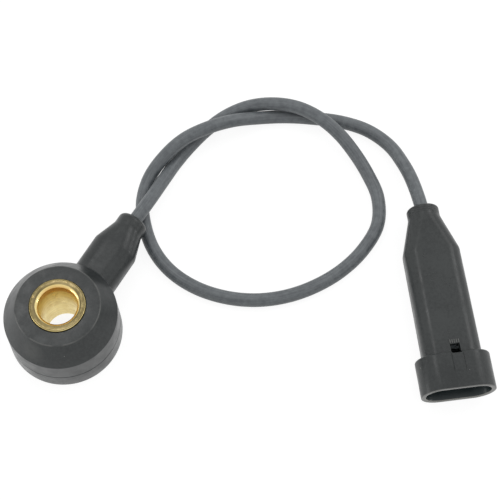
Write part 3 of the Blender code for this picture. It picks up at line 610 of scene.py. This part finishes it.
def ring_painted_light(look):
    """Painted light on the ring: a painted sheen on one side of its flat top, a painted highlight line
    along its rim, and a painted pool of light on the cone.
    """
    x, y, z = look.axes(look.vector("SUBTRACT", look.place, (RING_X, 0.0, 0.0)))
    radius = look.length(x, y)
    on_top = look.ramp(z, RING_TOP - 0.10 * MM, RING_TOP - 0.03 * MM)
    within = look.ramp(radius, RING_TOP_RADIUS, RING_TOP_RADIUS + 0.1 * MM, 1.0, 0.0)
    # painted sheen: the flat top is painted lighter towards one side
    sheen = look.ramp(look.reach(x, y, PAINTED_SHEEN_TOWARDS), -8 * MM, 9 * MM, 0.0, 0.04)
    flat = look.product(on_top, within, sheen)
    # painted highlight: a pale line along the rim's edge
    line = between(look, radius, RING_TOP_RADIUS - 0.20 * MM, RING_TOP_RADIUS - 0.02 * MM, 0.08 * MM)
    high = look.ramp(z, RING_TOP - 0.25 * MM, RING_TOP - 0.15 * MM)
    rim = look.product(line, high, look.ramp(look.noise(250.0, 2.0), 0.35, 0.60, 0.10, 0.55))
    # painted pool of light: a lighter patch on the cone
    apart = look.vector("LENGTH", look.vector("SUBTRACT", look.place, LIT_PATCH_PLACE))
    patch = look.ramp(apart, 0.8 * MM, 3.4 * MM, 0.22, 0.0)
    lit_patch = look.product(patch, look.ramp(look.noise(500.0, 3.0), 0.25, 0.55, 0.5, 1.0))
    return look.math("MAXIMUM", lit_patch, look.math("MAXIMUM", flat, rim))


def plug_wear_and_highlights(look):
    """Worn places and painted highlights on the plug: the rim of the mouth, worn and lit with a painted
    highlight, and the tips of the teeth at the window, worn and lit with painted highlights.
    """
    x, y, z = look.axes(look.place)
    # worn rim, lightened further as a painted highlight
    rim = look.ramp(x, PLUG_LENGTH - 0.14 * MM, PLUG_LENGTH - 0.04 * MM, 0.0, 0.95)
    half = (TEETH - 1) / 2 * TOOTH_PITCH + 0.23 * MM
    across = between(look, y, WINDOW_OFFSET - half, WINDOW_OFFSET + half, 0.02 * MM)
    along = between(look, x, WINDOW[0] - 1.05 * MM, WINDOW[0] - 0.06 * MM, 0.02 * MM)
    top = PLUG_BODY[1] + PLUG_DRAFT
    # tips of the teeth: worn, and lightened as painted highlights
    tips = look.ramp(z, top + 0.05 * MM, top + 0.12 * MM, 0.0, 0.6)
    return look.math("MAXIMUM", rim, look.product(tips, across, along))


def plug_mouth_painted_light(look, colour):
    """Painted shade on the inside of the shroud, which is darker and bluer, and a painted highlight on the
    lip of its mouth.
    """
    x, y, z = look.axes(look.place)
    inner = SHROUD[1] - SHROUD_WALL
    past_straight = look.math("SUBTRACT", look.math("ABSOLUTE", y), SHROUD[0] - SHROUD[1])
    aside = look.math("MAXIMUM", past_straight, 0.0)
    reach = look.length(aside, z)
    near_wall = look.math("LESS_THAN", reach, inner + 0.05 * MM)
    in_mouth = look.math("GREATER_THAN", x, PLUG_LENGTH - MOUTH_DEPTH)
    behind_rim = look.ramp(x, PLUG_LENGTH - 0.3 * MM, PLUG_LENGTH - 0.1 * MM, 1.0, 0.0)
    # painted shade: darker and bluer near the walls inside the mouth
    colour = look.mix(look.product(near_wall, in_mouth, behind_rim), colour, MOUTH_PAINTED_SHADE)
    at_lip = look.math("LESS_THAN", reach, inner + 0.18 * MM)
    on_rim = look.math("GREATER_THAN", x, PLUG_LENGTH - 0.17 * MM)
    # painted highlight: a pale line on the mouth's lip
    return look.mix(look.product(at_lip, on_rim, 0.85), colour, MOUTH_LIP_HIGHLIGHT)


def moulding(name, roughness, grain, light_and_wear, inside=None):
    """Black glass-filled nylon: a little mottled, satin, with fine grain, dust specks, worn places, and
    painted highlights and shade.
    """
    look = Finish(name, Specular_IOR_Level=0.55)
    cloud = look.noise(110.0, 3.0)
    mottle = look.noise(1500.0, 4.0, 0.7)
    share = look.math("MULTIPLY_ADD", cloud, 0.45, look.product(mottle, 0.55))
    colour = look.mix(look.ramp(share, 0.38, 0.62), *MOULDING)
    # painted light and worn places: the moulding is lightened where the mask says
    colour = look.mix(light_and_wear(look), colour, WORN_AND_LIT_MOULDING)
    if inside:
        # painted shade and highlight in the plug's mouth
        colour = inside(look, colour)
    colour = look.mix(look.product(specks(look, 420.0, 0.05, 0.16), 0.75), colour, DUST)
    shine = look.noise(300.0, 4.0, 0.6)
    look.bump(look.noise(3600.0, 3.0, 0.6), grain, 0.03 * MM)
    look.bump(look.noise(420.0, 3.0), 0.10, 0.05 * MM)
    return look.done(colour, look.ramp(shine, 0.3, 0.7, roughness - 0.06, roughness + 0.07))


def painted_bore_shade(look, colour, x, y, height):
    """Brass with a painted copper-red shade high in the bore, on its far side: the rim's shadow, warmed by
    brass reflecting brass.
    """
    far = look.ramp(look.reach(x, y, BORE_SHADE_TOWARDS), 0.2 * MM, 3.8 * MM)
    high = between(look, height, 13.9 * MM, 15.2 * MM, 0.9 * MM)
    return look.mix(look.product(far, high, 0.6), colour, BRASS_BORE_SHADE)


def brushed_face(look, marks, x, y, radius):
    """The brushed end face, with painted reflection: darker on two opposite sides, as a turned face
    reflects light in a bow-tie.
    """
    side = look.math("DIVIDE", look.reach(x, y, SHADED_SIDES_ACROSS), radius)
    drift = look.math("MULTIPLY_ADD", look.noise(420.0, 2.0), 0.7, -0.35)
    # painted reflection: two opposite sides of the face are painted darker
    shaded_sides = look.ramp(look.math("ADD", look.product(side, side), drift), 0.15, 0.75)
    ground, lit = look.mix(shaded_sides, *BRUSHED_BRASS_LIT_SHADED), look.mix(shaded_sides, *BRUSHED_MARKS_LIT_SHADED)
    return look.mix(look.ramp(marks, 0.46, 0.60, 0.0, 0.80), ground, lit)


def turned_brass(name):
    """Turned brass: circular tool marks, a warm tint that drifts, painted warm shade in the bore, painted
    reflection on the end face, and small stains.
    """
    look = Finish(name, Metallic=1.0)
    x, y, height = look.axes(look.vector("SUBTRACT", look.place, (RING_X, 0.0, 0.0)))
    radius = look.length(x, y)
    turn = look.product(look.math("ARCTAN2", y, x), 0.0004)
    run = look.node("ShaderNodeCombineXYZ", X=radius, Y=height, Z=turn).outputs[0]
    marks = look.noise(2100.0, 3.0, 0.65, run)
    bands = look.noise(1500.0, 2.0, 0.5, run)
    colour = look.mix(look.ramp(look.noise(260.0, 3.0, 0.5), 0.3, 0.7), *BRASS)
    colour = look.mix(look.ramp(bands, 0.35, 0.75, 0.0, 0.30), colour, BRASS_BANDS)
    # painted shade: copper-red high on the bore's far wall
    colour = painted_bore_shade(look, colour, x, y, height)
    face = look.ramp(height, SLEEVE_HEIGHT - 0.08 * MM, SLEEVE_HEIGHT - 0.01 * MM, 0.0, 0.85)
    # the end face takes the brushed colours, with their painted reflection
    colour = look.mix(face, colour, brushed_face(look, marks, x, y, radius))
    stain = look.ramp(look.noise(900.0, 4.0, 0.65), 0.60, 0.72, 0.0, 0.45)
    colour = look.mix(stain, colour, BRASS_STAIN)
    look.bump(marks, 0.35, 0.02 * MM)
    chamfer = between(look, height, SLEEVE_HEIGHT - 0.5 * MM, SLEEVE_HEIGHT - 0.1 * MM, 0.05 * MM)
    rough = look.ramp(look.noise(1200.0, 3.0), 0.3, 0.7, 0.27, 0.42)
    return look.done(colour, look.math("SUBTRACT", rough, look.product(chamfer, 0.16)))


def jacket(name):
    """The cable's matte grey jacket: fine mottling, faint drawn lines along it, and a few light scuffs."""
    look = Finish(name, Specular_IOR_Level=0.58)
    run = look.node("ShaderNodeTexCoord").outputs["UV"]
    lines = look.noise(1.0, 3.0, 0.6, look.vector("MULTIPLY", run, (90.0, 26.0, 0.0)))
    mottle = look.noise(800.0, 3.0, 0.55)
    share = look.math("MULTIPLY_ADD", lines, 0.5, look.product(mottle, 0.5))
    colour = look.mix(look.ramp(share, 0.3, 0.7), *JACKET)
    streaks = look.noise(1.0, 2.0, 0.5, look.vector("MULTIPLY", run, (160.0, 9.0, 0.0)))
    scuff = look.ramp(streaks, 0.73, 0.80)
    colour = look.mix(look.product(scuff, 0.5), colour, JACKET_SCUFF)
    look.bump(lines, 0.12, 0.03 * MM)
    look.bump(look.noise(5000.0, 2.0), 0.08, 0.02 * MM)
    return look.done(colour, look.ramp(mottle, 0.3, 0.7, 0.36, 0.50))


def plain(name, dark, light, roughness, metallic=0.0, scale=900.0):
    """A finish for what is inside: two near colours, a roughness that varies, and fine grain."""
    look = Finish(name, Metallic=metallic)
    colour = look.mix(look.ramp(look.noise(scale, 4.0, 0.6), 0.3, 0.7), dark, light)
    look.bump(look.noise(scale * 6, 2.0), 0.06, 0.02 * MM)
    shine = look.noise(scale * 0.7, 3.0)
    return look.done(colour, look.ramp(shine, 0.3, 0.7, roughness - 0.05, roughness + 0.07))


# Cord
def cable_path():
    """The middle of the cable, from its end in the boss to its end in the plug."""
    exit_x = RING_X + BOSS_REACH
    boss = [(exit_x - back, 0, BOSS_Z) for back in (CABLE_IN_BOSS, CABLE_IN_BOSS / 2, 0)]
    route = [(x * MM, y * MM, z * MM) for x, y, z in CABLE_ROUTE_MM]
    ahead = Vector((math.cos(PLUG_HEADING), math.sin(PLUG_HEADING), 0))
    plug = [PLUG_PLACE + ahead * on for on in (0, CABLE_IN_PLUG / 2, CABLE_IN_PLUG)]
    return smooth_path(boss + route + plug)


def cable_entry(face, inwards):
    """Stations of the hole that the cable enters, from outside its face inwards, with the edge rounded."""
    bore = CABLE_RADIUS + CABLE_JOINT
    lip = CABLE_RADIUS + CABLE_ENTRY_LIP
    line = [(-CUT_OVERLAP, lip), (0.0, lip)] + [(depth, bore + past) for depth, past in CABLE_ENTRY_EDGE]
    return [(face + inwards * depth, radius, radius, radius) for depth, radius in line]


# Sensor
def make_sleeve(finish):
    """The turned sleeve, with its rims broken and a finely stepped seat."""
    top = [(BORE_RADIUS + out * MM, SLEEVE_HEIGHT + up * MM) for out, up in TOP_CHAMFER_MM]
    rim = (SLEEVE_RADIUS - SLEEVE_RIM_ROUND, SLEEVE_HEIGHT - SLEEVE_RIM_ROUND)
    key_bottom = SLEEVE_RADIUS - KEY_DEPTH
    foot = (FOOT_RADIUS - FOOT_ROUND, FOOT_ROUND)
    profile = top[-1:]
    profile += arc(rim, SLEEVE_RIM_ROUND, 90, 0)
    profile += [(SLEEVE_RADIUS, KEY_HIGH), (key_bottom, KEY_HIGH)]
    profile += [(key_bottom, KEY_LOW), (SLEEVE_RADIUS, KEY_LOW)]
    profile += [(SLEEVE_RADIUS, FLANGE_HEIGHT), (FLANGE_RADIUS, FLANGE_HEIGHT)]
    profile += [(FLANGE_RADIUS, FOOT_HEIGHT), (FOOT_RADIUS, FOOT_HEIGHT)]
    profile += arc(foot, FOOT_ROUND, 0, -90, 4)
    profile += [(BORE_RADIUS + out * MM, up * MM) for out, up in FOOT_CHAMFER_MM]
    profile += top[:-1]
    return turned("turned_sleeve", profile, finish)


def ring_wall(height):
    """The radius of the ring's outside at this height, with its draft."""
    return RING_RADIUS + RING_DRAFT * (RING_SHOULDER - height) / (RING_SHOULDER - RING_BOTTOM)


def parting_line():
    """The fine groove where the mould parted, from its upper edge down."""
    low, high = PARTING_HEIGHT - PARTING_HALF_WIDTH, PARTING_HEIGHT + PARTING_HALF_WIDTH
    bottom = ring_wall(PARTING_HEIGHT) - PARTING_DEPTH
    return [
        (ring_wall(high), high),
        (bottom, PARTING_HEIGHT + PARTING_FLOOR_HALF_WIDTH),
        (bottom, PARTING_HEIGHT - PARTING_FLOOR_HALF_WIDTH),
        (ring_wall(low), low),
    ]


def ring_profile():
    """The housing ring's section, with the same cavity as the solid."""
    sleeve_side = SLEEVE_RADIUS + SLEEVE_JOINT
    clear_side = SLEEVE_RADIUS + FIT_GAP
    key_side = clear_side - KEY_DEPTH
    foot_side = FOOT_RADIUS + FIT_GAP
    floor = FOOT_HEIGHT - FIT_GAP
    edge = RING_EDGE_ROUND
    rim = (RING_TOP_RADIUS - RING_RIM_ROUND, RING_TOP - RING_RIM_ROUND)
    slope = math.degrees(math.atan2(RING_RADIUS - RING_TOP_RADIUS, RING_TOP - RING_SHOULDER))
    points = [(sleeve_side, RING_TOP - SLEEVE_JOINT_EDGE), (sleeve_side + SLEEVE_JOINT_EDGE, RING_TOP)]
    points += arc(rim, RING_RIM_ROUND, 90, slope, 6)
    points += arc((RING_RADIUS - edge, RING_SHOULDER - edge), edge, slope, 0, 6)
    points += parting_line()
    points += arc((RING_RADIUS + RING_DRAFT - edge, RING_BOTTOM + edge), edge, 0, -90, 6)
    points += [
        (foot_side, RING_BOTTOM),
        (foot_side, floor),
        (CAVITY_RADIUS, floor),
        (CAVITY_RADIUS, SPRING_LOW),
        (NUT_CAVITY, NUT_LOW),
        (NUT_CAVITY, CAVITY_ROOF),
        (clear_side, CAVITY_ROOF),
        (clear_side, KEY_LOW + FIT_GAP),
        (key_side, KEY_LOW + FIT_GAP),
        (key_side, KEY_HIGH - FIT_GAP),
        (sleeve_side, KEY_HIGH - FIT_GAP),
    ]
    return points


def boss_rings():
    """The boss from its root in the ring: a fillet along the ring's wall, then body, taper and neck."""
    body = [(y, z - BOSS_DROP, ny, nz) for y, z, ny, nz in section(*BOSS_BODY)]
    flared = [(y + BOSS_FILLET * ny, z + BOSS_FILLET * nz) for y, z, ny, nz in body]
    on_wall = [(math.sqrt(ring_wall(BOSS_Z + z) ** 2 - y * y), y, z) for y, z in flared]
    rings = [[(BOSS_ROOT, y, z) for y, z in flared]]
    rings.append([(x - BOSS_FILLET_ROOT, y, z) for x, y, z in on_wall])
    for i in range(FILLET_STEPS + 1):
        t = i / FILLET_STEPS
        ring = []
        for (y, z, _, _), wall in zip(body, on_wall):
            foot = math.sqrt(ring_wall(BOSS_Z + z) ** 2 - y * y)
            end, corner = Vector((foot + BOSS_FILLET, y, z)), Vector((foot, y, z))
            ring.append(Vector(wall) * (1 - t) ** 2 + corner * (2 * t * (1 - t)) + end * t * t)
        rings.append(ring)
    neck = (NECK_RADIUS, NECK_RADIUS, NECK_RADIUS, 0)
    start, end = BOSS_TAPER
    full = (*BOSS_BODY, BOSS_DROP)
    stations = [(BOSS_BODY_START, *full), (start, *full)]
    stations += [(end, *neck), (BOSS_REACH - NECK_ROUND, *neck)]
    stations = eased(stations, BOSS_EASE, 8)[:-1]
    stations += rounded_end(BOSS_REACH, neck[:3], NECK_ROUND, -1)
    return rings + [station_ring(*station) for station in stations]


def make_housing(finish):
    """The moulded housing: ring, filleted boss and the space inside it."""
    housing = turned("moulded_housing", ring_profile(), finish)
    at = Matrix.Translation((RING_X, 0, BOSS_Z))
    combined(housing, solid("boss", boss_rings(), matrix=at), "UNION")
    pocket = (BOSS_BODY[0] - BOSS_WALL, BOSS_BODY[1] - BOSS_WALL, BOSS_POCKET_CORNER, BOSS_DROP)
    entry = cable_entry(BOSS_REACH, -1)[::-1]
    start, end = BOSS_POCKET
    core = [(start, *pocket), (end, *pocket), (end, *entry[0][1:])] + entry
    return combined(housing, lofted("boss_core", core, matrix=at), "DIFFERENCE")


# Plug
def larger(size, growth):
    """An oblong's sizes with the same growth on each."""
    return tuple(value + growth for value in size)


def plug_outside():
    """Stations of the plug's outside: collar with its fine rings, body, and shroud."""
    collar = (COLLAR_RADIUS,) * 3
    drafted = (*larger(PLUG_BODY[:2], PLUG_DRAFT), PLUG_BODY[2])
    line = [(COLLAR_END_ROUND, *collar), (COLLAR_LENGTH, *collar)]
    line += [(PLUG_BODY_START, *PLUG_BODY), (SHROUD_START, *drafted)]
    body = eased(line, PLUG_EASE)[:-1]
    stations = rounded_end(0, collar, COLLAR_END_ROUND, 1)[:-1] + body[:1]
    for middle in COLLAR_RINGS:
        for side, depth in ((-1, 0.0), (0, COLLAR_RING_DEPTH), (1, 0.0)):
            place = middle + side * COLLAR_RING_HALF_WIDTH
            stations.append((place, *larger(collar, -depth)))
    stations += body[1:]
    stations.append((SHROUD_START, *drafted))
    back = SHROUD_START + SHROUD_BACK_STEP
    stations.append((back, *larger(drafted, SHROUD_BACK_RISE)))
    stations += rounded_end(back, SHROUD, SHROUD_BACK_ROUND, 1)[1:]
    return stations + rounded_end(PLUG_LENGTH, SHROUD, SHROUD_RIM_ROUND, -1, 4)


def plug_core():
    """Stations of the plug's inside: the cable's hole, passage, terminals' pocket and mouth."""
    entry = cable_entry(0, 1)
    inner = SHROUD[1] - SHROUD_WALL
    mouth = (SHROUD[0] - SHROUD_WALL, inner, inner)
    bottom = PLUG_LENGTH - MOUTH_DEPTH
    start, end = PASSAGE
    wide = larger(mouth, SHROUD_RIM_ROUND)
    return entry + [
        (CABLE_HOLE_END, *entry[-1][1:]),
        (start, *PASSAGE_SIZE),
        (end, *PASSAGE_SIZE),
        (end, *POCKET_SIZE),
        (bottom, *POCKET_SIZE),
        (bottom, *mouth),
        (PLUG_LENGTH - SHROUD_RIM_ROUND, *mouth),
        (PLUG_LENGTH - MOUTH_EDGE, *larger(mouth, MOUTH_EDGE)),
        (PLUG_LENGTH, *wide),
        (PLUG_LENGTH + CUT_OVERLAP, *wide),
    ]


def add_lock_ridge(plug, matrix):
    """The low ridge on the shroud, with soft edges, and a fine groove beside it."""
    left, top = WINDOW_OFFSET - LOCK_WIDTH / 2, SHROUD[1]
    right = left + LOCK_WIDTH
    near = SHROUD_START + LOCK_START_GAP
    rings = []
    for rise, spread in LOCK_RINGS:
        far = LOCK_END + LOCK_FAR_SHARE * spread - LOCK_FAR_GAP
        y0, y1 = left - spread * LOCK_LEFT_SHARE, right + spread * LOCK_RIGHT_SHARE
        rings.append([(x, y, top + rise) for x, y in ((near, y0), (far, y0), (far, y1), (near, y1))])
    combined(plug, solid("lock_ridge", rings, matrix=matrix), "UNION")
    inner, outer = LOCK_GROOVE_BESIDE
    low = (SHROUD_START + 2 * LOCK_START_GAP, right + inner, top - LOCK_GROOVE_DEPTH)
    high = (LOCK_END - LOCK_GROOVE_END_GAP, right + outer, top + CUT_OVERLAP)
    combined(plug, block("ridge_groove", low, high, matrix), "DIFFERENCE")


def add_teeth(plug, matrix):
    """The row of small teeth on the edge of the window."""
    top = PLUG_BODY[1] + PLUG_DRAFT
    start, end = (WINDOW[0] - before for before in TOOTH_BEFORE_WINDOW)
    for i in range(TEETH):
        middle = WINDOW_OFFSET + (i - (TEETH - 1) // 2) * TOOTH_PITCH
        low = (start, middle - TOOTH_HALF_WIDTH, top - TOOTH_ROOT)
        high = (end, middle + TOOTH_HALF_WIDTH, top + TOOTH_RISE)
        combined(plug, block("tooth_%d" % i, low, high, matrix, TOOTH_EDGE), "UNION")


def make_plug(finish):
    """The moulded plug: its outside, lock ridge and teeth, hollowed out, with the window cut through."""
    matrix = Matrix.Translation(PLUG_PLACE) @ Matrix.Rotation(PLUG_HEADING, 4, "Z")
    plug = lofted("moulded_plug", plug_outside(), finish, matrix)
    add_lock_ridge(plug, matrix)
    add_teeth(plug, matrix)
    combined(plug, lofted("plug_core", plug_core(), matrix=matrix), "DIFFERENCE")
    low = (WINDOW[0], WINDOW_OFFSET - WINDOW_WIDTH / 2, WINDOW_FLOOR)
    high = (WINDOW[1], WINDOW_OFFSET + WINDOW_WIDTH / 2, SHROUD[1] + CUT_OVERLAP)
    return combined(plug, block("window_core", low, high, matrix), "DIFFERENCE")


# Studio
def add_lamp(name, bearing, width, height, radiance):
    """A rectangular lamp that lies in this bearing from the middle, faces it and has this radiance."""
    data = bpy.data.lights.new(name, "AREA")
    data.shape = "RECTANGLE"
    data.size, data.size_y = width, height
    data.energy = radiance * math.pi * width * height
    made = bpy.data.objects.new(name, data)
    bpy.context.scene.collection.objects.link(made)
    direction = Vector(bearing).normalized()
    made.location = Vector(STUDIO_MIDDLE) + direction * LAMP_DISTANCE
    made.rotation_euler = direction.to_track_quat("Z", "Y").to_euler()
    made.visible_camera = False


def seen_directly(tree):
    """1 for what camera, glossy and transmission rays see, and 0 for what only gives light."""
    path = tree.nodes.new("ShaderNodeLightPath")
    seen = path.outputs["Is Camera Ray"]
    for name in ("Is Glossy Ray", "Is Transmission Ray"):
        either = tree.nodes.new("ShaderNodeMath")
        either.operation = "MAXIMUM"
        tree.links.new(seen, either.inputs[0])
        tree.links.new(path.outputs[name], either.inputs[1])
        seen = either.outputs[0]
    return seen


def add_sky():
    """Soft light from all round, least from near the horizon on the camera's side, seen as plain white."""
    world = bpy.data.worlds.new("studio")
    bpy.context.scene.world = world
    world.use_nodes = True
    tree = world.node_tree
    place = tree.nodes.new("ShaderNodeTexCoord")
    lean = tree.nodes.new("ShaderNodeVectorMath")
    lean.operation = "DOT_PRODUCT"
    lean.inputs[1].default_value = SKY_TOP
    scale = tree.nodes.new("ShaderNodeMapRange")
    scale.inputs["From Min"].default_value = -1.0
    ramp = tree.nodes.new("ShaderNodeValToRGB")
    while len(ramp.color_ramp.elements) < len(SKY_GREYS):
        ramp.color_ramp.elements.new(0.5)
    for element, (position, grey) in zip(ramp.color_ramp.elements, SKY_GREYS):
        element.position = position
        element.color = (grey, grey, grey, 1.0)
    shown = tree.nodes.new("ShaderNodeMix")
    shown.data_type = "RGBA"
    lighting, white, result = shown.inputs[6], shown.inputs[7], shown.outputs[2]
    white.default_value = WHITE
    tree.links.new(place.outputs["Generated"], lean.inputs[0])
    tree.links.new(lean.outputs["Value"], scale.inputs["Value"])
    tree.links.new(scale.outputs[0], ramp.inputs[0])
    tree.links.new(seen_directly(tree), shown.inputs[0])
    tree.links.new(ramp.outputs["Color"], lighting)
    tree.links.new(result, tree.nodes["Background"].inputs["Color"])


def floor_finish():
    """A pale floor that keeps the object's shadow, and is seen as white, in gloss too."""
    made = bpy.data.materials.new("white floor")
    made.use_nodes = True
    tree = made.node_tree
    tree.nodes.remove(tree.nodes["Principled BSDF"])
    lit = tree.nodes.new("ShaderNodeBsdfDiffuse")
    lit.inputs["Color"].default_value = (FLOOR_GREY, FLOOR_GREY, FLOOR_GREY, 1.0)
    shaded = tree.nodes.new("ShaderNodeBsdfDiffuse")
    shaded.inputs["Color"].default_value = (FLOOR_SHADED_GREY, FLOOR_SHADED_GREY, FLOOR_SHADED_GREY, 1.0)
    glow = tree.nodes.new("ShaderNodeEmission")
    glow.inputs["Color"].default_value = WHITE
    glow.inputs["Strength"].default_value = FLOOR_GLOW
    shown = tree.nodes.new("ShaderNodeAddShader")
    mix = tree.nodes.new("ShaderNodeMixShader")
    tree.links.new(shaded.outputs[0], shown.inputs[0])
    tree.links.new(glow.outputs[0], shown.inputs[1])
    tree.links.new(seen_directly(tree), mix.inputs[0])
    tree.links.new(lit.outputs[0], mix.inputs[1])
    tree.links.new(shown.outputs[0], mix.inputs[2])
    tree.links.new(mix.outputs[0], tree.nodes["Material Output"].inputs["Surface"])
    return made


def add_floor():
    """The floor, a hair below the seat."""
    mesh = bpy.data.meshes.new("floor")
    signs = ((-1, -1), (1, -1), (1, 1), (-1, 1))
    corners = [(x * FLOOR_HALF, y * FLOOR_HALF, -FLOOR_DROP) for x, y in signs]
    mesh.from_pydata(corners, [], [(0, 1, 2, 3)])
    add("floor", mesh, floor_finish())


# Object
def dress(node, finish):
    """Gives a carried-over CAD node its finish."""
    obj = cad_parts[node]
    if not obj.material_slots:
        obj.data.materials.append(finish)
    for slot in obj.material_slots:
        slot.material = finish


def dress_inside():
    """Gives every CAD node that stays in the scene the finish of what it is made of."""
    film = plain("insulating film", (0.46, 0.26, 0.07), (0.62, 0.38, 0.12), 0.42)
    terminal = plain("tinned brass", (0.55, 0.53, 0.46), (0.68, 0.66, 0.58), 0.30, 1.0, 2200.0)
    ceramic = plain("piezo ceramic", (0.52, 0.49, 0.40), (0.64, 0.61, 0.52), 0.62)
    steel = plain("plated steel", (0.36, 0.37, 0.38), (0.48, 0.49, 0.50), 0.34, 1.0, 1800.0)
    resistor = plain("resistor coating", (0.30, 0.37, 0.41), (0.38, 0.45, 0.49), 0.48)
    carrier = plain("terminal carrier", (0.150, 0.172, 0.182), (0.190, 0.215, 0.225), 0.52)
    white = plain("white wire", (0.70, 0.69, 0.64), (0.78, 0.77, 0.73), 0.48)
    black = plain("black wire", (0.022, 0.022, 0.023), (0.036, 0.036, 0.037), 0.48)
    finishes = (
        (film, ("lower_insulator", "upper_insulator")),
        (terminal, ("lower_contact", "upper_contact", "signal_terminal", "ground_terminal")),
        (ceramic, ("piezo_ring",)),
        (steel, ("seismic_mass", "disc_spring", "clamp_nut")),
        (resistor, ("discharge_resistor",)),
        (carrier, ("terminal_carrier",)),
        (white, ("sensor_signal_wire", "plug_signal_wire")),
        (black, ("sensor_ground_wire", "plug_ground_wire")),
    )
    for finish, nodes in finishes:
        for node in nodes:
            dress(node, finish)


def stand_for(piece, node):
    """Puts a piece in the place of a CAD node, and lets it ride where the node does."""
    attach(piece, "root")
    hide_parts(node)


def declare_cord():
    """Lists the CAD nodes that sit in the plug, and does nothing more with them."""
    in_plug = ("terminal_carrier", "signal_terminal", "ground_terminal")
    in_plug += ("plug_signal_wire", "plug_ground_wire")


def main():
    add_camera()
    path = cable_path()
    cable = tube("cable_jacket", path, CABLE_RADIUS, jacket("jacket"))
    sleeve = make_sleeve(turned_brass("turned brass"))
    housing = make_housing(moulding("housing moulding", roughness=0.34, grain=0.14, light_and_wear=ring_painted_light))
    plug = make_plug(
        moulding("plug moulding", roughness=0.33, grain=0.09, light_and_wear=plug_wear_and_highlights, inside=plug_mouth_painted_light)
    )
    stand_for(sleeve, "sleeve")
    stand_for(housing, "housing")
    stand_for(plug, "plug_body")
    stand_for(cable, "cable")
    dress_inside()
    declare_cord()
    add_floor()
    add_sky()
    for name, lamp in LAMPS.items():
        add_lamp(name, *lamp)
    bpy.context.scene.view_settings.view_transform = "Standard"


main()
